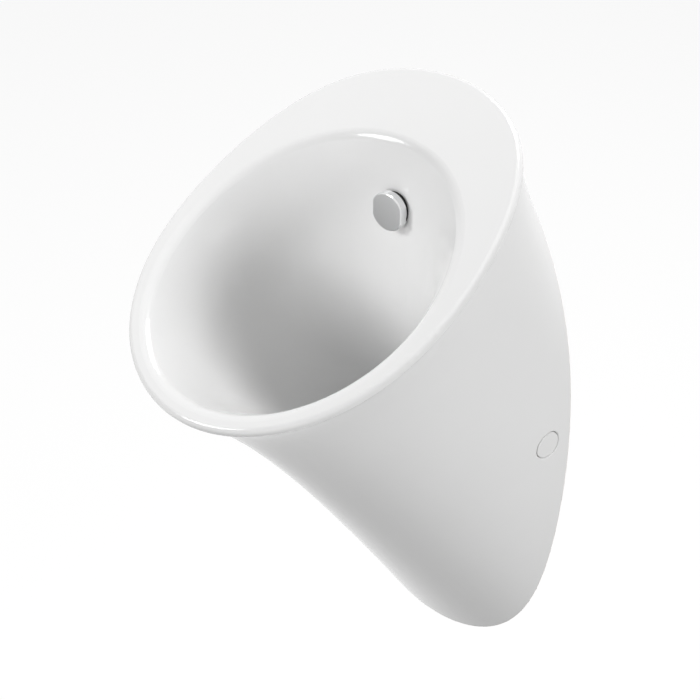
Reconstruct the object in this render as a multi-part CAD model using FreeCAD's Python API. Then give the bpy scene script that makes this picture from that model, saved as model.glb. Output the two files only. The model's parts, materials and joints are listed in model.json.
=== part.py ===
import FreeCAD, Part
import math
import os

# Wall-hung urinal, in millimetres. The wall is the plane y = 0 and the urinal stands out towards -y,
# with +z up. The origin is on the wall, midway between the two side fixings.

V = FreeCAD.Vector
X, Y, Z = V(1, 0, 0), V(0, 1, 0), V(0, 0, 1)

# Rim: a flat oval that rises from the front lip to the wall
rim_width = 300.0
projection = 340.0
rim_rise = 186.0
lip_z = 119.0
rim_thickness = 9.0
rim_edge_radius = 4.0
rim_under_radius = 2.5
rim_oval_shares = (-0.042, 0.098, 0.090)

# Outer shell: from under the rim it flares in and runs down to an oval outline on the wall
shell_set_in = 1.0
shell_thickness = 12.0
wall_side_inset = 8.0
wall_top_z = 269.0
wall_bottom_z = -291.0
wall_overrun = 8.0
wall_slope = math.radians(35.0)
wall_oval_shares = (0.003, 0.068, -0.228)
flare_angles = tuple(math.radians(a) for a in (31.6, 49.0, 10.0))
flare_reach_shares = (0.168, 0.090, 0.120)
wall_reach_shares = (0.209, 0.198, 0.252)
shell_middle_share = 0.485

# Bowl: from an oval mouth in the rim to a flat round floor at the drain
mouth_side_margin = 20.0
mouth_front_margin = 16.0
mouth_back_margin = 78.0
mouth_lip_radius = 12.0
mouth_overrun = 6.0
bowl_depth = 110.0
bowl_thickness = 12.0
floor_radius = 40.0
floor_slope = math.radians(9.0)
bowl_angles = tuple(math.radians(a) for a in (38.0, 45.0, 46.0))
bowl_reach_shares = (0.25, 0.25, 0.33)
floor_reach_shares = (0.24, 0.16, 0.05)
bowl_middle_share = 0.5

# Spray head and inlet, on a level axis through the back wall of the bowl
spray_height = 88.0
spray_radius = 17.6
spray_flat_distance = 32.2
spray_thickness = 7.0
spray_edge_radius = 1.3
spray_gap = 0.5
spray_seat_depth = 1.0
spray_seat_radius = 15.6
spray_thread_radius = 8.9
spray_thread_length = 15.0
spray_bore_radius = 4.5
jet_radius = 1.5
jet_count = 6
o_ring_radius = 1.0
o_ring_place = 10.5
stem_flange_radius = 15.0
stem_flange_thickness = 1.6
stem_radius = 12.0
stem_length = 32.0
stem_hole_clearance = 0.6
spray_seal_thickness = 3.4
inlet_seat_radius = 22.0
inlet_seat_depth = 2.0
inlet_washer_radius = 19.0
inlet_washer_thickness = 3.0
inlet_nut_across_flats = 34.0
inlet_nut_thickness = 8.0
socket_radius = 18.0
socket_wall = 3.0
socket_gap = 1.0
socket_floor = 4.0
sleeve_bore_radius = 9.0
sleeve_lip = 1.5
sleeve_recess = 3.0

# Drain and trap, on an upright axis through the floor of the bowl
drain_distance = 95.0
drain_recess_depth = 4.5
drain_hole_radius = 23.5
waste_flange_radius = 36.0
waste_flange_thickness = 3.0
waste_tube_radius = 22.0
waste_tube_wall = 2.5
drain_seal_width = 10.0
under_seal_radius = 36.0
under_seal_thickness = 3.0
trap_nut_radius = 33.0
trap_nut_thickness = 8.0
trap_nut_grips = 8
trap_nut_grip_radius = 3.0
strainer_radius = 33.0
strainer_height = 7.0
strainer_thickness = 1.8
strainer_hole_radius = 2.4
strainer_skirt_height = 8.0
strainer_ring_shares = ((0.0, 1), (0.30, 6), (0.56, 12), (0.80, 18))
trap_radius = 25.0
trap_wall = 2.5
trap_collar_height = 8.0
trap_collar_gap = 2.0
trap_ledge = 3.0
trap_ledge_radius = 15.4
trap_height = 52.0
dip_tube_radius = 15.0
dip_tube_wall = 1.8
dip_tube_length = 61.0
dip_flange_thickness = 2.5
cup_wall = 2.4
cup_grip_height = 16.0
cup_taper_height = 16.0
cup_foot_radius = 18.0
cup_seal_thickness = 2.0
outlet_drop = 22.0
outlet_radius = 16.0
outlet_wall = 2.5
outlet_end_distance = 46.0
outlet_pipe_wall = 1.8
outlet_pipe_entry = 16.0
outlet_nut_radius = 23.0
outlet_nut_length = 19.0
outlet_nut_lip = 3.0
outlet_nut_grips = 10
outlet_nut_grip_radius = 2.4
cone_seal_length = 5.0
cone_seal_taper = 1.4
bell_radius = 24.0
bell_wall = 2.6
bell_length = 30.0
wall_gap = 2.0
collar_bore_radius = 16.05
collar_lip = 2.0

# Side fixings: the same group on the left and on the right
fixing_distance = 28.0
cap_radius = 12.9
cap_groove = 0.45
cap_edge_radius = 1.2
cap_thickness = 4.0
cap_skirt_wall = 1.4
pocket_depth = 10.0
pocket_edge_radius = 1.3
bush_hole_radius = 8.0
boss_radius = 20.0
bush_flange_radius = 12.4
bush_flange_thickness = 1.6
screw_radius = 3.0
screw_head_radius = 5.0
screw_head_height = 3.4
screw_key_flats = 4.0
screw_key_depth = 2.2
screw_length = 28.0
nut_width = 13.0
nut_thickness = 6.0
bracket_thickness = 3.0
bracket_inset = 24.0
bracket_tab_height = 40.0
bracket_tab_reach = 44.0
bracket_foot_width = 52.0
bracket_foot_height = 64.0
bracket_guide_length = 14.0
bracket_guide_thickness = 2.5
bracket_corner_radius = 6.0
wall_hole_radius = 4.5
wall_hole_inset = 25.0
wall_hole_spacing_z = 40.0

# Fits
thread_clearance = 0.1
running_clearance = 0.08
loose_clearance = 0.3
overrun = 60.0

# Counts and plain numbers
outline_points = 48
spline_degree = 3
spline_bend_share = 1 / 6
parallel_share = 0.01
full_turn = 2 * math.pi
hexagon_sides = 6
edge_samples = 5

# Places that follow from the sizes
rim_length = math.hypot(projection, rim_rise)
rim_normal = V(0, -rim_rise, projection).normalize()
rim_back = V(0, projection, rim_rise).normalize()
rim_centre = V(0, -projection / 2, lip_z + rim_rise / 2)
wall_half_width = rim_width / 2 - wall_side_inset
mouth_half_width = rim_width / 2 - mouth_side_margin
bracket_tab_x = wall_half_width - bracket_inset
floor_z = lip_z - bowl_depth
drain_y = -drain_distance
spray_z = lip_z + spray_height


def along_oval(values, place):
    """Value at a place on an oval, -1 at its front and 1 at its back, from front, side and back values."""
    front, side, back = values
    slope = (back - front) / 2
    bend = (back + front) / 2 - side
    return side + slope * place + bend * place ** 2


def oval(angle, half_width, front, back, shares, set_in=0.0):
    """Point and outward direction on an egg-shaped oval, from its back (angle 0) round by +x."""
    c, s = math.cos(angle), math.sin(angle)
    k1, k2, k3 = shares
    fullness = 1 + k1 * c + k2 * c ** 2 + k3 * c ** 3
    growth = k1 + 2 * k2 * c + 3 * k3 * c ** 2
    across = half_width * s * fullness
    along = (back + front) / 2 + (back - front) / 2 * c
    d_across = half_width * (c * fullness - s ** 2 * growth)
    d_along = -(back - front) / 2 * s
    size = math.hypot(d_across, d_along)
    out_across, out_along = -d_along / size, d_across / size
    return across - set_in * out_across, along - set_in * out_along, out_across, out_along


def turn_angles():
    return [full_turn * i / outline_points for i in range(outline_points)]


def closed_poles(points):
    """Poles of a smooth closed cubic curve through evenly spread points."""
    count = len(points)
    poles = []
    for i in range(count):
        bend = points[i - 1] - points[i] * 2 + points[(i + 1) % count]
        poles.append(points[i] - bend * spline_bend_share)
    return poles


def closed_wire(points):
    count = len(points)
    curve = Part.BSplineCurve()
    knots = list(range(count + 1))
    curve.buildFromPolesMultsKnots(closed_poles(points), [1] * len(knots), knots, True, spline_degree)
    return Part.Wire([curve.toShape()])


def skin_solid(rows):
    """Closed solid whose side is swept by Bezier lines through rows of closed outlines."""
    pole_rows = [closed_poles(row) for row in rows]
    count, order = len(rows[0]), len(rows)
    poles = [[row[i] for row in pole_rows] for i in range(count)]
    knots = list(range(count + 1))
    surface = Part.BSplineSurface()
    surface.buildFromPolesMultsKnots(
        poles, [1] * len(knots), [order, order], knots, [0, 1], True, False, spline_degree, order - 1)
    side = surface.toShape()
    ends = [Part.Face(Part.Wire([edge])) for edge in side.Edges if edge.isClosed()]
    shell = Part.makeShell([side] + ends)
    shell.sewShape()
    solid = Part.makeSolid(Part.Shell(shell.Faces))
    if solid.Volume < 0:
        solid.reverse()
    return solid


def tube(outer_radius, inner_radius, start, direction, length):
    body = Part.makeCylinder(outer_radius, length, start, direction)
    if inner_radius:
        body = body.cut(Part.makeCylinder(inner_radius, length, start, direction))
    return body


def prism(sides, across_flats, start, direction, length):
    """Regular prism along a level direction, with its flats at the given distance."""
    corner = across_flats / 2 / math.cos(math.pi / sides)
    side = direction.cross(Z)
    other = direction.cross(side)
    points = []
    for i in range(sides + 1):
        angle = full_turn * (i + 0.5) / sides
        points.append(start + side * corner * math.cos(angle) + other * corner * math.sin(angle))
    return Part.Face(Part.makePolygon(points)).extrude(direction * length)


def ring_nut(outer_radius, inner_radius, grips, grip_radius, start, direction, length):
    """Round nut with finger grooves."""
    nut = tube(outer_radius, inner_radius, start, direction, length)
    for i in range(grips):
        turn = FreeCAD.Rotation(direction, math.degrees(full_turn * i / grips))
        groove = Part.makeCylinder(grip_radius, length, start + turn.multVec(X) * outer_radius, direction)
        nut = nut.cut(groove)
    return nut


def lipped_tube(outer_radius, inner_radius, start, length, lip):
    """Tube towards the wall, with a round lip inside its far mouth."""
    body = tube(outer_radius, inner_radius, start, Y, length)
    middle_girth = (outer_radius + inner_radius) * math.pi
    inner_edges = [e for e in body.Edges if e.isClosed() and e.Length < middle_girth]
    return body.makeFillet(lip, [e for e in inner_edges if e.CenterOfMass.y > start.y + length / 2])


def edges_along(shape, direction):
    """Edges of a box that run along a direction."""
    runs = [(e, e.tangentAt(e.FirstParameter)) for e in shape.Edges]
    return [e for e, run in runs if run.cross(direction).Length < parallel_share]


def rim_point(across, along, drop):
    return rim_centre + X * across + rim_back * along - rim_normal * drop


def rim_outline(set_in, drop):
    """Points and outward directions of the rim's oval, set in and lowered."""
    points = []
    for angle in turn_angles():
        across, along, out_across, out_along = oval(
            angle, rim_width / 2, -rim_length / 2, rim_length / 2, rim_oval_shares, set_in)
        points.append((rim_point(across, along, drop), X * out_across + rim_back * out_along))
    return points


def bezier_rows(lines):
    return [[line[i] for line in lines] for i in range(len(lines[0]))]


def shell_solid(depth):
    """Solid of the outer shell, or of its inside when depth is the shell's thickness."""
    drop = rim_thickness - rim_under_radius + depth
    towards_wall = V(0, math.sin(wall_slope), -math.cos(wall_slope))
    lines = []
    for angle, (start, outward) in zip(turn_angles(), rim_outline(shell_set_in + depth, drop)):
        place = math.cos(angle)
        outline = (angle, wall_half_width, wall_bottom_z, wall_top_z, wall_oval_shares)
        out_across, out_up = oval(*outline)[2:]
        outline_out = V(out_across, 0, out_up)
        skin_normal = towards_wall.cross(outline_out.cross(Y)).normalize()
        across, height = oval(*outline, depth / abs(skin_normal.dot(outline_out)))[:2]
        end = V(across, wall_overrun, height)
        reach = (end - start).Length
        flare = along_oval(flare_angles, place)
        inwards = rim_normal * -math.cos(flare) - outward * math.sin(flare)
        near_rim = start + inwards * reach * along_oval(flare_reach_shares, place)
        near_wall = end - towards_wall * reach * along_oval(wall_reach_shares, place)
        middle = near_rim + (near_wall - near_rim) * shell_middle_share
        lines.append((start, near_rim, middle, near_wall, end))
    return skin_solid(bezier_rows(lines))


def bowl_solid(growth):
    """Solid of the bowl's hollow, or of the bowl's outside when growth is its thickness."""
    front, back = mouth_ends()
    floor_centre = V(0, drain_y, floor_z - growth)
    lines = []
    for angle in turn_angles():
        place = math.cos(angle)
        across, along, out_across, out_along = oval(
            angle, mouth_half_width, front, back, (0.0, 0.0, 0.0), -growth)
        outward = X * out_across + rim_back * out_along
        lean = along_oval(bowl_angles, place)
        inwards = rim_normal * -math.cos(lean) - outward * math.sin(lean)
        lead_in = mouth_overrun / math.cos(lean)
        start = rim_point(across, along, 0.0) - inwards * lead_in
        floor_out = V(math.sin(angle), math.cos(angle), 0)
        end = floor_centre + floor_out * (floor_radius + growth)
        reach = (end - start).Length
        near_rim = start + inwards * (reach * along_oval(bowl_reach_shares, place) + lead_in)
        uphill = floor_out * math.cos(floor_slope) + Z * math.sin(floor_slope)
        near_floor = end + uphill * reach * along_oval(floor_reach_shares, place)
        middle = near_rim + (near_floor - near_rim) * bowl_middle_share
        lines.append((start, near_rim, middle, near_floor, end))
    return skin_solid(bezier_rows(lines))


def edges_at_drop(shape, drop):
    """Edges of the rim's slab at a depth below its flat top."""
    middles = [(e, (rim_centre - e.CenterOfMass).dot(rim_normal)) for e in shape.Edges]
    return [e for e, depth in middles if abs(depth - drop) < rim_under_radius / 2]


def rim_solid():
    """Flat oval slab with rounded edges."""
    outline = closed_wire([point for point, outward in rim_outline(0.0, 0.0)])
    slab = Part.Face(outline).extrude(rim_normal * -rim_thickness)
    slab = slab.makeFillet(rim_edge_radius, edges_at_drop(slab, 0.0))
    return slab.makeFillet(rim_under_radius, edges_at_drop(slab, rim_thickness))


def in_front_of_wall(shape):
    """The part of a shape on the room's side of the wall."""
    size = rim_width + projection + wall_top_z - wall_bottom_z
    behind = Part.makeBox(size, size, size, V(-size / 2, 0, -size / 2))
    return shape.cut(behind)


def farthest_along(shape, start, direction):
    """Farthest point of a shape on a straight line."""
    line = Part.makeLine(start, start + direction * (rim_width + projection))
    points = [v.Point for v in line.common(shape).Vertexes]
    return max(points, key=lambda p: p.dot(direction))


def mouth_ends():
    """Front and back of the bowl's mouth, along the rim from its centre."""
    return -rim_length / 2 + mouth_front_margin, rim_length / 2 - mouth_back_margin


def mouth_edges(shape):
    """Edges of the bowl's mouth in the rim's flat top."""
    front, back = mouth_ends()
    half_margin = mouth_front_margin / 2
    edges = []
    for edge in shape.Edges:
        place = edge.valueAt((edge.FirstParameter + edge.LastParameter) / 2) - rim_centre
        in_top = abs(place.dot(rim_normal)) < rim_edge_radius / 2
        if in_top and front - half_margin < place.dot(rim_back) < back + half_margin:
            edges.append(edge)
    return edges


def ceramic_blank():
    """Shell, rim and bowl in one casting, hollow at the back, before its holes are made."""
    outside = in_front_of_wall(shell_solid(0.0).fuse(rim_solid()))
    bowl_outside = bowl_solid(bowl_thickness)
    back_hollow = shell_solid(shell_thickness).cut(bowl_outside)
    solid = outside.cut(bowl_solid(0.0))
    solid = solid.makeFillet(mouth_lip_radius, mouth_edges(solid))
    return outside, bowl_outside, back_hollow, solid.cut(back_hollow)


def at(y, z, x=0.0):
    return V(x, y, z)


outside, bowl_outside, back_hollow, blank = ceramic_blank()

# Seats that the fittings share with the ceramic
spray_line = at(-projection / 2, spray_z)
spray_seat_y = farthest_along(bowl_solid(0.0), spray_line, Y).y + spray_seat_depth
inlet_seat_y = farthest_along(bowl_outside, spray_line, Y).y - inlet_seat_depth
drain_seat_z = floor_z - drain_recess_depth
under_z = floor_z - bowl_thickness
fixing_centre = at(-fixing_distance, 0.0)
side_x = farthest_along(outside, fixing_centre, X).x
pocket_floor_x = side_x - pocket_depth
tab_outer_x = bracket_tab_x + bracket_thickness


def mirrored(shape):
    return shape.mirror(V(0, 0, 0), X)


def fixing_edges(shape, radius):
    """Edges where a round wall about the side fixings' axis meets the shell's face."""
    edges = []
    for edge in shape.Edges:
        places = edge.discretize(edge_samples)
        offsets = [math.hypot(p.y + fixing_distance, p.z) - radius for p in places]
        at_face = all(abs(p.x) > side_x - cap_thickness for p in places)
        if at_face and max(abs(offset) for offset in offsets) < thread_clearance:
            edges.append(edge)
    return edges


def ceramic_body():
    """The casting with its bosses, seats and holes."""
    boss_start = fixing_centre + X * tab_outer_x
    boss = Part.makeCylinder(boss_radius, side_x - tab_outer_x, boss_start, X).common(outside)
    pocket = Part.makeCylinder(cap_radius + cap_groove, overrun, fixing_centre + X * pocket_floor_x, X)
    screw_way = Part.makeCylinder(bush_hole_radius, overrun, boss_start, X)
    body = blank.fuse([boss, mirrored(boss)])
    spray_seat = Part.makeCylinder(spray_seat_radius, overrun, at(spray_seat_y, spray_z), -Y)
    spray_hole = Part.makeCylinder(stem_radius + stem_hole_clearance, overrun, at(spray_seat_y, spray_z), Y)
    inlet_seat = Part.makeCylinder(inlet_seat_radius, overrun, at(inlet_seat_y, spray_z), Y)
    recess_radius = waste_flange_radius + loose_clearance
    recess = Part.makeCylinder(recess_radius, overrun, at(drain_y, drain_seat_z), Z)
    drain_hole = Part.makeCylinder(drain_hole_radius, overrun, at(drain_y, drain_seat_z), -Z)
    cuts = [pocket, mirrored(pocket), screw_way, mirrored(screw_way)]
    cuts += [spray_seat, spray_hole, inlet_seat, recess, drain_hole]
    body = body.cut(cuts)
    return body.makeFillet(pocket_edge_radius, fixing_edges(body, cap_radius + cap_groove))


def spray_head():
    """Round head with two wrench flats, a threaded spigot and cross holes for the water."""
    back = at(spray_head_y, spray_z)
    disc = Part.makeCylinder(spray_radius, spray_thickness, back, -Y)
    flats = Part.makeBox(spray_flat_distance, spray_thickness, spray_radius * 2,
                         V(-spray_flat_distance / 2, spray_head_y - spray_thickness, spray_z - spray_radius))
    disc = disc.common(flats)
    front = [e for e in disc.Edges if abs(e.BoundBox.YMax - spray_head_y + spray_thickness) < spray_gap]
    disc = disc.makeFillet(spray_edge_radius, front)
    spigot_length = spray_gap + spray_thread_length
    head = disc.fuse(Part.makeCylinder(spray_thread_radius, spigot_length, back, Y))
    groove_radius = spray_thread_radius - o_ring_radius * 2 - loose_clearance
    groove_half = o_ring_radius + loose_clearance
    groove_start = back + Y * (o_ring_place - groove_half)
    head = head.cut(tube(spray_radius, groove_radius, groove_start, Y, groove_half * 2))
    bore_depth = spigot_length + spray_thickness / 2
    head = head.cut(Part.makeCylinder(spray_bore_radius, bore_depth, back + Y * spigot_length, -Y))
    for i in range(jet_count):
        turn = FreeCAD.Rotation(Y, math.degrees(full_turn * (i + 0.5) / jet_count))
        jet_start = back + Y * (spray_gap + jet_radius)
        head = head.cut(Part.makeCylinder(jet_radius, spray_radius, jet_start, turn.multVec(X)))
    return head


def spray_o_ring():
    centre = at(spray_head_y + o_ring_place, spray_z)
    return Part.makeTorus(spray_thread_radius - o_ring_radius, o_ring_radius, centre, Y)


def spray_stem():
    """Flanged tube through the bowl's back wall, with a water chamber behind the spray head."""
    front = at(stem_front_y, spray_z)
    stem = Part.makeCylinder(stem_flange_radius, stem_flange_thickness, front, Y)
    stem = stem.fuse(Part.makeCylinder(stem_radius, stem_flange_thickness + stem_length, front, Y))
    chamber_radius = (stem_radius + spray_thread_radius) / 2
    stem = stem.cut(Part.makeCylinder(chamber_radius, spray_gap + jet_radius * 2, front, Y))
    thread_depth = spray_thread_length + spray_gap
    stem = stem.cut(Part.makeCylinder(spray_thread_radius + thread_clearance, thread_depth, front, Y))
    return stem.cut(Part.makeCylinder(stem_bore_radius, stem_length + stem_flange_thickness, front, Y))


def spray_seal():
    inner = stem_radius + stem_hole_clearance
    return tube(stem_flange_radius, inner, at(spray_seat_y, spray_z), -Y, spray_seal_thickness)


def inlet_washer():
    inner = stem_radius + thread_clearance
    return tube(inlet_washer_radius, inner, at(inlet_seat_y, spray_z), Y, inlet_washer_thickness)


def inlet_nut():
    start = at(inlet_nut_y, spray_z)
    nut = prism(hexagon_sides, inlet_nut_across_flats, start, Y, inlet_nut_thickness)
    return nut.cut(Part.makeCylinder(stem_radius + thread_clearance, inlet_nut_thickness, start, Y))


def inlet_socket():
    """Cup that screws onto the stem and takes the rubber sleeve."""
    front = at(socket_y, spray_z)
    cup = Part.makeCylinder(socket_radius, -wall_gap - socket_y, front, Y)
    thread_length = stem_end_y - socket_y
    cup = cup.cut(Part.makeCylinder(stem_radius + thread_clearance, thread_length, front, Y))
    cup = cup.cut(Part.makeCylinder(stem_bore_radius, overrun, front, Y))
    return cup.cut(Part.makeCylinder(socket_radius - socket_wall, overrun, at(sleeve_y, spray_z), Y))


def inlet_sleeve():
    """Rubber sleeve with a round lip at its mouth."""
    outer = socket_radius - socket_wall - thread_clearance
    length = -wall_gap - sleeve_recess - sleeve_y
    return lipped_tube(outer, sleeve_bore_radius, at(sleeve_y, spray_z), length, sleeve_lip)


def strainer():
    """Shallow dome with rings of holes and a skirt that centres it in the waste."""
    sphere_radius = (strainer_radius ** 2 + strainer_height ** 2) / (2 * strainer_height)
    centre = at(drain_y, floor_z + strainer_height - sphere_radius)
    outer = Part.makeSphere(sphere_radius, centre)
    inner = Part.makeSphere(sphere_radius - strainer_thickness, centre)
    seat = at(drain_y, floor_z)
    band = Part.makeCylinder(strainer_radius, strainer_height, seat, Z)
    dome = outer.cut(inner).common(band)
    edge = tube(strainer_radius, strainer_radius - strainer_thickness * 2, seat, Z, strainer_thickness)
    skirt_radius = waste_tube_radius - waste_tube_wall - loose_clearance
    skirt_start = seat - Z * strainer_skirt_height
    skirt_height = strainer_skirt_height + strainer_height
    skirt = tube(skirt_radius, skirt_radius - strainer_thickness, skirt_start, Z, skirt_height)
    body = dome.fuse([edge.common(outer), skirt.common(outer)])
    for ring_share, count in strainer_ring_shares:
        for i in range(count):
            angle = full_turn * i / count
            reach = strainer_radius * ring_share
            place = skirt_start + X * reach * math.cos(angle) + Y * reach * math.sin(angle)
            body = body.cut(Part.makeCylinder(strainer_hole_radius, overrun, place, Z))
    return body


def waste_flange():
    """Flange in the bowl's floor with a threaded tube through the drain hole."""
    top = at(drain_y, floor_z)
    flange = Part.makeCylinder(waste_flange_radius, waste_flange_thickness, top, -Z)
    flange = flange.fuse(Part.makeCylinder(waste_tube_radius, floor_z - waste_end_z, top, -Z))
    return flange.cut(Part.makeCylinder(waste_tube_radius - waste_tube_wall, overrun, top, -Z))


def drain_seal():
    thickness = drain_recess_depth - waste_flange_thickness
    inner = waste_flange_radius - drain_seal_width
    return tube(waste_flange_radius, inner, at(drain_y, drain_seat_z), Z, thickness)


def under_seal():
    inner = waste_tube_radius + thread_clearance
    return tube(under_seal_radius, inner, at(drain_y, under_z), -Z, under_seal_thickness)


def trap_nut():
    start = at(drain_y, under_z - under_seal_thickness)
    inner = waste_tube_radius + thread_clearance
    grips = (trap_nut_grips, trap_nut_grip_radius)
    return ring_nut(trap_nut_radius, inner, *grips, start, -Z, trap_nut_thickness)


def trap_body():
    """Bottle with a threaded collar, a ledge for the dip tube and an outlet towards the wall."""
    top = at(drain_y, trap_top_z)
    bottle = Part.makeCylinder(trap_radius, trap_collar_height + trap_ledge + trap_height, top, -Z)
    outlet_length = drain_distance - outlet_end_distance
    outlet = Part.makeCylinder(outlet_radius, outlet_length, at(drain_y, outlet_z), Y)
    body = bottle.fuse(outlet)
    body = body.cut(Part.makeCylinder(waste_tube_radius + thread_clearance, trap_collar_height, top, -Z))
    body = body.cut(Part.makeCylinder(trap_ledge_radius, overrun, top, -Z))
    inside = at(drain_y, ledge_z - trap_ledge)
    body = body.cut(Part.makeCylinder(trap_radius - trap_wall, trap_height, inside, -Z))
    return body.cut(Part.makeCylinder(outlet_radius - outlet_wall, outlet_length, at(drain_y, outlet_z), Y))


def dip_tube():
    top = at(drain_y, ledge_z + dip_flange_thickness)
    flange = Part.makeCylinder(waste_tube_radius - thread_clearance, dip_flange_thickness, top, -Z)
    length = dip_tube_length + dip_flange_thickness
    stem = Part.makeCylinder(dip_tube_radius, length, top, -Z)
    return flange.fuse(stem).cut(Part.makeCylinder(dip_tube_radius - dip_tube_wall, length, top, -Z))


def trap_cup():
    """Screwed cup with a tapered foot, turned from its profile."""
    inner = trap_radius + thread_clearance
    outer = inner + cup_wall
    bore = trap_radius - trap_wall
    shoulder_z = trap_end_z - cup_seal_thickness
    top_z = trap_end_z + cup_grip_height
    foot_z = shoulder_z - cup_taper_height
    profile = [
        (inner, top_z), (outer, top_z), (outer, shoulder_z - cup_wall), (cup_foot_radius, foot_z),
        (0.0, foot_z), (0.0, foot_z + cup_wall), (cup_foot_radius - cup_wall / 2, foot_z + cup_wall),
        (bore, shoulder_z), (inner, shoulder_z)]
    points = [V(r, drain_y, z) for r, z in profile]
    face = Part.Face(Part.makePolygon(points + points[:1]))
    return face.revolve(at(drain_y, 0.0), Z, math.degrees(full_turn))


def trap_cup_seal():
    return tube(trap_radius, trap_radius - trap_wall, at(drain_y, trap_end_z), -Z, cup_seal_thickness)


def outlet_pipe():
    """Pipe from the trap with a bell at the wall."""
    start = at(-outlet_end_distance - outlet_pipe_entry, outlet_z)
    length = -start.y - wall_gap
    pipe = Part.makeCylinder(outlet_pipe_radius, length, start, Y)
    bell_start = at(-wall_gap - bell_length, outlet_z)
    bell = Part.makeCylinder(bell_radius, bell_length, bell_start, Y)
    room_start = bell_start + Y * bell_wall
    collar_room = Part.makeCylinder(bell_radius - bell_wall, bell_length - bell_wall, room_start, Y)
    pipe = pipe.fuse(bell).cut(collar_room)
    return pipe.cut(Part.makeCylinder(outlet_pipe_radius - outlet_pipe_wall, length, start, Y))


def outlet_seal():
    """Cone washer round the pipe, at the mouth of the trap's outlet."""
    start = at(-outlet_end_distance, outlet_z)
    cone = Part.makeCone(outlet_radius, outlet_radius - cone_seal_taper, cone_seal_length, start, Y)
    return cone.cut(Part.makeCylinder(outlet_pipe_radius + thread_clearance, cone_seal_length, start, Y))


def outlet_nut():
    """Union nut over the outlet's thread and the cone washer."""
    end_y = cone_seal_length + outlet_nut_lip - outlet_end_distance
    start = at(end_y - outlet_nut_length, outlet_z)
    inner = outlet_pipe_radius + thread_clearance
    grips = (outlet_nut_grips, outlet_nut_grip_radius)
    nut = ring_nut(outlet_nut_radius, inner, *grips, start, Y, outlet_nut_length)
    room = Part.makeCylinder(outlet_radius + thread_clearance, outlet_nut_length - outlet_nut_lip, start, Y)
    return nut.cut(room)


def outlet_collar():
    """Rubber collar in the bell, with a round lip for the wall's waste pipe."""
    outer = bell_radius - bell_wall - thread_clearance
    start = at(bell_wall - wall_gap - bell_length, outlet_z)
    return lipped_tube(outer, collar_bore_radius, start, bell_length - bell_wall, collar_lip)


def cover_cap():
    """Cap whose face is a piece of the shell's own surface, with a rounded edge."""
    skirt_end_x = pocket_floor_x + bush_flange_thickness + loose_clearance
    skirt_end = fixing_centre + X * skirt_end_x
    cap = Part.makeCylinder(cap_radius, overrun, skirt_end, X).common(outside)
    hollow_depth = side_x - cap_thickness - skirt_end_x
    cap = cap.cut(Part.makeCylinder(cap_radius - cap_skirt_wall, hollow_depth, skirt_end, X))
    return cap.makeFillet(cap_edge_radius, fixing_edges(cap, cap_radius))


def clamp_bush():
    start = fixing_centre + X * tab_outer_x
    sleeve = Part.makeCylinder(bush_hole_radius - thread_clearance, pocket_floor_x - tab_outer_x, start, X)
    flange_start = fixing_centre + X * pocket_floor_x
    flange = Part.makeCylinder(bush_flange_radius, bush_flange_thickness, flange_start, X)
    return sleeve.fuse(flange).cut(Part.makeCylinder(screw_radius + running_clearance, overrun, start, X))


def clamp_screw():
    seat = fixing_centre + X * (pocket_floor_x + bush_flange_thickness + thread_clearance)
    screw = Part.makeCylinder(screw_head_radius, screw_head_height, seat, X)
    screw = screw.fuse(Part.makeCylinder(screw_radius, screw_length, seat, -X))
    key_start = seat + X * (screw_head_height - screw_key_depth)
    return screw.cut(prism(hexagon_sides, screw_key_flats, key_start, X, screw_head_height))


def clamp_nut():
    start = fixing_centre + X * (bracket_tab_x - thread_clearance - nut_thickness)
    half = nut_width / 2
    nut = Part.makeBox(nut_thickness, nut_width, nut_width, start - Y * half - Z * half)
    return nut.cut(Part.makeCylinder(screw_radius + running_clearance, nut_thickness, start, X))


def wall_bracket():
    """Angle bracket with a foot on the wall, a tab for the clamp screw and guides for its nut."""
    foot_x = tab_outer_x - bracket_foot_width
    foot = Part.makeBox(bracket_foot_width, bracket_thickness, bracket_foot_height,
                        V(foot_x, -bracket_thickness, -bracket_foot_height / 2))
    inner_corners = [e for e in edges_along(foot, Y) if e.CenterOfMass.x < bracket_tab_x]
    foot = foot.makeFillet(bracket_corner_radius, inner_corners)
    tab = Part.makeBox(bracket_thickness, bracket_tab_reach, bracket_tab_height,
                       V(bracket_tab_x, -bracket_tab_reach, -bracket_tab_height / 2))
    front_corners = [e for e in edges_along(tab, X) if e.CenterOfMass.y < -bracket_thickness]
    tab = tab.makeFillet(bracket_corner_radius, front_corners)
    bracket = foot.fuse(tab)
    guide_z = nut_width / 2 + loose_clearance
    for low_z in (guide_z, -guide_z - bracket_guide_thickness):
        corner = V(bracket_tab_x - bracket_guide_length, -fixing_distance - nut_width / 2, low_z)
        guide = Part.makeBox(bracket_guide_length, nut_width, bracket_guide_thickness, corner)
        bracket = bracket.fuse(guide)
    tab_start = fixing_centre + X * bracket_tab_x
    bracket = bracket.cut(Part.makeCylinder(screw_radius + loose_clearance, bracket_thickness, tab_start, X))
    for side in (1, -1):
        hole_start = V(bracket_tab_x - wall_hole_inset, 0, side * wall_hole_spacing_z / 2)
        bracket = bracket.cut(Part.makeCylinder(wall_hole_radius, bracket_thickness, hole_start, -Y))
    return bracket


# Places along the spray axis, from the bowl to the wall
stem_front_y = spray_seat_y - spray_seal_thickness - stem_flange_thickness
stem_end_y = stem_front_y + stem_flange_thickness + stem_length
stem_bore_radius = spray_thread_radius - o_ring_radius * 2
spray_head_y = stem_front_y - spray_gap
inlet_nut_y = inlet_seat_y + inlet_washer_thickness
socket_y = inlet_nut_y + inlet_nut_thickness + socket_gap
sleeve_y = stem_end_y + socket_floor

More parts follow.
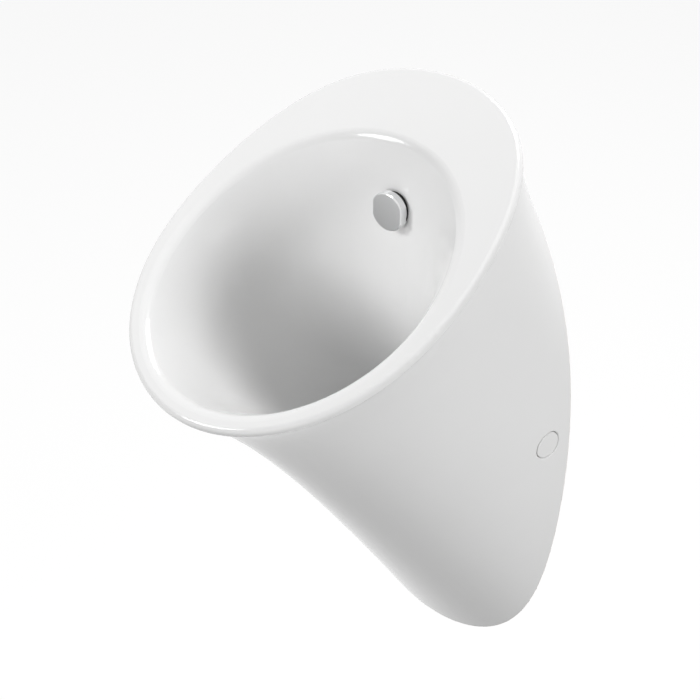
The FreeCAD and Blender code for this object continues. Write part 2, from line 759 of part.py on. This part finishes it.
# Places along the drain axis, from the bowl down, and along the outlet
trap_top_z = under_z - under_seal_thickness - trap_nut_thickness - trap_collar_gap
ledge_z = trap_top_z - trap_collar_height
waste_end_z = ledge_z + dip_flange_thickness + thread_clearance
trap_end_z = ledge_z - trap_ledge - trap_height
outlet_z = ledge_z - outlet_drop
outlet_pipe_radius = outlet_radius - outlet_wall - thread_clearance

pieces = {
    "ceramic_body": ceramic_body(),
    "spray_head": spray_head(),
    "spray_o_ring": spray_o_ring(),
    "spray_stem": spray_stem(),
    "spray_seal": spray_seal(),
    "inlet_washer": inlet_washer(),
    "inlet_nut": inlet_nut(),
    "inlet_socket": inlet_socket(),
    "inlet_sleeve": inlet_sleeve(),
    "strainer": strainer(),
    "waste_flange": waste_flange(),
    "drain_seal": drain_seal(),
    "under_seal": under_seal(),
    "trap_nut": trap_nut(),
    "trap_body": trap_body(),
    "dip_tube": dip_tube(),
    "trap_cup": trap_cup(),
    "trap_cup_seal": trap_cup_seal(),
    "outlet_pipe": outlet_pipe(),
    "outlet_seal": outlet_seal(),
    "outlet_nut": outlet_nut(),
    "outlet_collar": outlet_collar(),
}
for make in (cover_cap, clamp_bush, clamp_screw, clamp_nut, wall_bracket):
    shape = make()
    pieces[make.__name__ + "_right"] = shape
    pieces[make.__name__ + "_left"] = mirrored(shape)

os.makedirs("parts", exist_ok=True)
for name, shape in pieces.items():
    shape.exportStep("parts/" + name + ".step")
    print(name, shape.isValid(), len(shape.Solids), "solid", round(shape.Volume), "mm3")
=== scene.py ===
import json
import math
import bpy
from mathutils import Matrix, Vector

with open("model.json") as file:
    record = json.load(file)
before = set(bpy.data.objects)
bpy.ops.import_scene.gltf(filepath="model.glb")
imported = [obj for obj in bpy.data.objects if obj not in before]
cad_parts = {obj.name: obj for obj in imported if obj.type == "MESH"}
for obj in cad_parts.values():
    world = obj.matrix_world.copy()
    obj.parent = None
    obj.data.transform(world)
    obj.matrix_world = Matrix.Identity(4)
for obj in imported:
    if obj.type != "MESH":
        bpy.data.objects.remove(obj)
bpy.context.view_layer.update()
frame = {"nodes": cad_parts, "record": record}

# Camera, in metres and degrees, with its lens and sensor in millimetres
lip_height = 0.119
camera_azimuth = 41.94
camera_elevation = 31.34
camera_distance = 1.937
camera_right = -0.0905
camera_up = -0.0767
camera_lens = 110.5
camera_sensor = 36.0

# Stage, in metres: the floor lies as far below the lip as in a washroom
white = (1, 1, 1, 1)
floor_drop = 0.65
floor_size = 24.0
floor_colour = (0.12, 0.12, 0.12, 1)
floor_roughness = 0.9
floor_glow = 0.86
background_strength = 0.945
sky_strength = 0.05

# Lamps: azimuth from the front and elevation in degrees, metres across, watts, and if the glaze mirrors it
lamp_aim = Vector((0, -0.17, 0.1))
lamp_distance = 2.2
lamps = {
    "key": (-30, 30, 0.9, 21.5, True),
    "front": (0, 10, 1.0, 16.0, False),
    "side": (94, 10, 1.0, 32.5, False),
    "back": (-165, 56, 1.0, 40.0, True),
}

# Patterns, and the glaze's index of refraction
noise_detail = 4.0
ring_waver = 0.6
glaze_index = 1.45

# Finishes by slot: pattern, waves per metre, then two ends, or the relief's height in metres and strength
finishes = {
    "glaze": {
        "metallic": 0.0,
        "tone": ("noise", 9.0, (0.81, 0.81, 0.808), (0.85, 0.85, 0.849)),
        "gloss": ("noise", 60.0, 0.10, 0.17),
        "relief": ("noise", 38.0, 0.0004, 0.05),
    },
    "cap_plastic": {
        "metallic": 0.0,
        "tone": ("noise", 30.0, (0.80, 0.80, 0.795), (0.84, 0.84, 0.838)),
        "gloss": ("noise", 200.0, 0.16, 0.24),
        "relief": ("noise", 300.0, 0.00008, 0.3),
    },
    "trap_plastic": {
        "metallic": 0.0,
        "tone": ("noise", 30.0, (0.68, 0.68, 0.66), (0.76, 0.76, 0.74)),
        "gloss": ("noise", 200.0, 0.38, 0.52),
        "relief": ("noise", 1300.0, 0.00008, 0.3),
    },
    "bush_plastic": {
        "metallic": 0.0,
        "tone": ("noise", 30.0, (0.05, 0.052, 0.056), (0.08, 0.083, 0.088)),
        "gloss": ("noise", 200.0, 0.45, 0.6),
        "relief": ("noise", 1300.0, 0.00008, 0.3),
    },
    "black_rubber": {
        "metallic": 0.0,
        "tone": ("noise", 30.0, (0.018, 0.018, 0.019), (0.035, 0.035, 0.036)),
        "gloss": ("noise", 200.0, 0.6, 0.8),
        "relief": ("noise", 900.0, 0.00008, 0.3),
    },
    "chrome": {
        "metallic": 1.0,
        "tone": ("noise", 900.0, (0.76, 0.765, 0.775), (0.84, 0.845, 0.85)),
        "gloss": ("noise", 240.0, 0.10, 0.20),
        "relief": ("noise", 900.0, 0.00003, 0.15),
    },
    "polished_steel": {
        "metallic": 1.0,
        "tone": ("noise", 45.0, (0.52, 0.53, 0.54), (0.64, 0.65, 0.66)),
        "gloss": ("noise", 1500.0, 0.18, 0.34),
        "relief": ("noise", 1500.0, 0.00004, 0.2),
    },
    "zinc_steel": {
        "metallic": 1.0,
        "tone": ("spangle", 190.0, (0.44, 0.45, 0.46), (0.60, 0.61, 0.62)),
        "gloss": ("spangle", 190.0, 0.30, 0.48),
        "relief": ("noise", 700.0, 0.00005, 0.3),
    },
    "brass": {
        "metallic": 1.0,
        "tone": ("noise", 120.0, (0.62, 0.45, 0.18), (0.78, 0.60, 0.30)),
        "gloss": ("noise", 400.0, 0.2, 0.34),
        "relief": ("rings", 670.0, 0.0001, 0.25),
    },
}

# Bare ceramic: pairs from full glaze to none, by y and z in metres and by the normal's share along y
bare_wall_y = (-0.0006, -0.0003)
bare_hollow_z = (-0.005, -0.04)
bare_turn_shares = (0.2, 0.45)
bare_colour = (0.80, 0.775, 0.73, 1)
bare_roughness = (0.8, 0.8, 0.8, 1)


class Nodes:
    """One node material, with its shader and the place and normal on the piece."""

    def __init__(self, name):
        self.material = bpy.data.materials.new(name)
        self.material.use_nodes = True
        self.tree = self.material.node_tree
        self.shader = self.tree.nodes["Principled BSDF"]
        coordinates = self.tree.nodes.new("ShaderNodeTexCoord").outputs
        self.place = coordinates["Object"]
        self.normal = coordinates["Normal"]

    def add(self, kind, inputs, **settings):
        """New node whose inputs are set to values or linked to other nodes' outputs."""
        node = self.tree.nodes.new(kind)
        for name, value in settings.items():
            setattr(node, name, value)
        for name, value in inputs.items():
            if isinstance(value, bpy.types.NodeSocket):
                self.tree.links.new(value, node.inputs[name])
            else:
                node.inputs[name].default_value = value
        return node

    def pattern(self, kind, scale):
        """Grey pattern between 0 and 1 that is fixed to the piece."""
        inputs = {"Vector": self.place, "Scale": scale}
        if kind == "spangle":
            cells = self.add("ShaderNodeTexVoronoi", inputs).outputs["Color"]
            return self.add("ShaderNodeRGBToBW", {"Color": cells}).outputs["Val"]
        if kind == "rings":
            inputs["Distortion"] = ring_waver
            return self.add("ShaderNodeTexWave", inputs, bands_direction="Y").outputs["Fac"]
        inputs["Detail"] = noise_detail
        return self.add("ShaderNodeTexNoise", inputs).outputs["Fac"]

    def ramp(self, value, low, high):
        """Colour or grey between low and high as value goes from 0 to 1."""
        node = self.add("ShaderNodeValToRGB", {"Fac": value})
        for element, shade in zip(node.color_ramp.elements, (low, high)):
            element.color = (*shade, 1) if isinstance(shade, tuple) else (shade, shade, shade, 1)
        return node.outputs["Color"]

    def rise(self, value, ends):
        """0 where value is at or before the first end, and 1 at or past the second."""
        inputs = {"Value": value, "From Min": ends[0], "From Max": ends[1]}
        return self.add("ShaderNodeMapRange", inputs).outputs["Result"]

    def join(self, operation, *values):
        """Result of one math operation on the outputs of other nodes."""
        node = self.add("ShaderNodeMath", {}, operation=operation)
        for value, socket in zip(values, node.inputs):
            self.tree.links.new(value, socket)
        return node.outputs["Value"]

    def link(self, output, socket):
        """Feeds an output to a socket of the shader."""
        self.tree.links.new(output, self.shader.inputs[socket])


def finish(name, metallic, tone, gloss, relief):
    """Node material with a tone, a gloss and a relief that vary over the surface."""
    nodes = Nodes(name)
    nodes.shader.inputs["Metallic"].default_value = metallic
    for socket, (kind, scale, low, high) in (("Base Color", tone), ("Roughness", gloss)):
        nodes.link(nodes.ramp(nodes.pattern(kind, scale), low, high), socket)
    kind, scale, height, strength = relief
    inputs = {"Height": nodes.pattern(kind, scale), "Distance": height, "Strength": strength}
    nodes.link(nodes.add("ShaderNodeBump", inputs).outputs["Normal"], "Normal")
    return nodes


def bare_ceramic(nodes):
    """Leaves the ceramic unglazed on its wall face and low down in the hollow behind it."""
    place = nodes.add("ShaderNodeSeparateXYZ", {"Vector": nodes.place}).outputs
    turn = nodes.add("ShaderNodeSeparateXYZ", {"Vector": nodes.normal}).outputs
    low = nodes.rise(place["Z"], bare_hollow_z)
    hollow = nodes.join("MULTIPLY", low, nodes.rise(turn["Y"], bare_turn_shares))
    bare = nodes.join("MAXIMUM", hollow, nodes.rise(place["Y"], bare_wall_y))
    for socket, shade in (("Base Color", bare_colour), ("Roughness", bare_roughness)):
        glazed = nodes.shader.inputs[socket].links[0].from_socket
        inputs = {"Fac": bare, "Color1": glazed, "Color2": shade}
        nodes.link(nodes.add("ShaderNodeMixRGB", inputs).outputs["Color"], socket)


def dress():
    """Gives every node the finish of its slot."""
    made = {name: finish(name, **values) for name, values in finishes.items()}
    made["glaze"].shader.inputs["IOR"].default_value = glaze_index
    bare_ceramic(made["glaze"])
    for entry in frame["record"]["subparts"]:
        node = frame["nodes"][entry["node"]]
        node.data.materials.clear()
        node.data.materials.append(made[entry["material_slot"]].material)


def seen_or_mirrored(nodes, links):
    """1 for rays from the camera, off a mirror or through glass, and 0 for the rest."""
    path = nodes.new("ShaderNodeLightPath")
    total = path.outputs["Is Camera Ray"]
    for name in ("Is Glossy Ray", "Is Transmission Ray"):
        adder = nodes.new("ShaderNodeMath")
        links.new(total, adder.inputs[0])
        links.new(path.outputs[name], adder.inputs[1])
        adder.use_clamp = True
        total = adder.outputs["Value"]
    return total


def sky():
    """White to the eye and in reflections, and a softer light on the object."""
    world = bpy.data.worlds.new("sky")
    bpy.context.scene.world = world
    world.use_nodes = True
    nodes = world.node_tree.nodes
    links = world.node_tree.links
    lit = nodes["Background"]
    seen = nodes.new("ShaderNodeBackground")
    for shader, strength in ((lit, sky_strength), (seen, background_strength)):
        shader.inputs["Color"].default_value = white
        shader.inputs["Strength"].default_value = strength
    mix = nodes.new("ShaderNodeMixShader")
    links.new(seen_or_mirrored(nodes, links), mix.inputs["Fac"])
    links.new(lit.outputs["Background"], mix.inputs[1])
    links.new(seen.outputs["Background"], mix.inputs[2])
    links.new(mix.outputs["Shader"], nodes["World Output"].inputs["Surface"])


def floor():
    """Floor that keeps the shadow and looks almost white to the eye and in reflections."""
    bpy.ops.mesh.primitive_plane_add(size=floor_size, location=(0, 0, lip_height - floor_drop))
    plane = bpy.context.object
    plane.name = "floor"
    material = bpy.data.materials.new("floor")
    material.use_nodes = True
    nodes = material.node_tree.nodes
    links = material.node_tree.links
    shader = nodes["Principled BSDF"]
    shader.inputs["Base Color"].default_value = floor_colour
    shader.inputs["Roughness"].default_value = floor_roughness
    shader.inputs["Emission Color"].default_value = (floor_glow, floor_glow, floor_glow, 1)
    links.new(seen_or_mirrored(nodes, links), shader.inputs["Emission Strength"])
    plane.data.materials.append(material)


def outward(azimuth, elevation):
    """Unit vector at an azimuth from the front, to the right, and an elevation, in degrees."""
    turn = math.radians(azimuth)
    tilt = math.radians(elevation)
    return Vector((math.sin(turn) * math.cos(tilt), -math.cos(turn) * math.cos(tilt), math.sin(tilt)))


def lamp(name, azimuth, elevation, size, power, mirrored):
    """Round soft lamp; one that isn't mirrored leaves no bright disc in the glaze."""
    direction = outward(azimuth, elevation)
    light = bpy.data.lights.new(name, "AREA")
    light.shape = "DISK"
    light.size = size
    light.energy = power
    thing = bpy.data.objects.new(name, light)
    thing.location = lamp_aim + direction * lamp_distance
    thing.rotation_euler = direction.to_track_quat("Z", "Y").to_euler()
    thing.visible_glossy = mirrored
    bpy.context.collection.objects.link(thing)


def camera():
    """Camera on a sphere round the lip, moved sideways and up to the picture's centre."""
    back = outward(camera_azimuth, camera_elevation)
    right = Vector((0, 0, 1)).cross(back).normalized()
    up = back.cross(right)
    data = bpy.data.cameras.new("camera")
    data.lens = camera_lens
    data.sensor_width = camera_sensor
    thing = bpy.data.objects.new("camera", data)
    thing.matrix_world = Matrix((right, up, back)).transposed().to_4x4()
    lip = Vector((0, 0, lip_height))
    thing.location = lip + back * camera_distance + right * camera_right + up * camera_up
    bpy.context.collection.objects.link(thing)
    bpy.context.scene.camera = thing


dress()
sky()
floor()
for name, values in lamps.items():
    lamp(name, *values)
camera()
bpy.context.scene.view_settings.view_transform = "Standard"
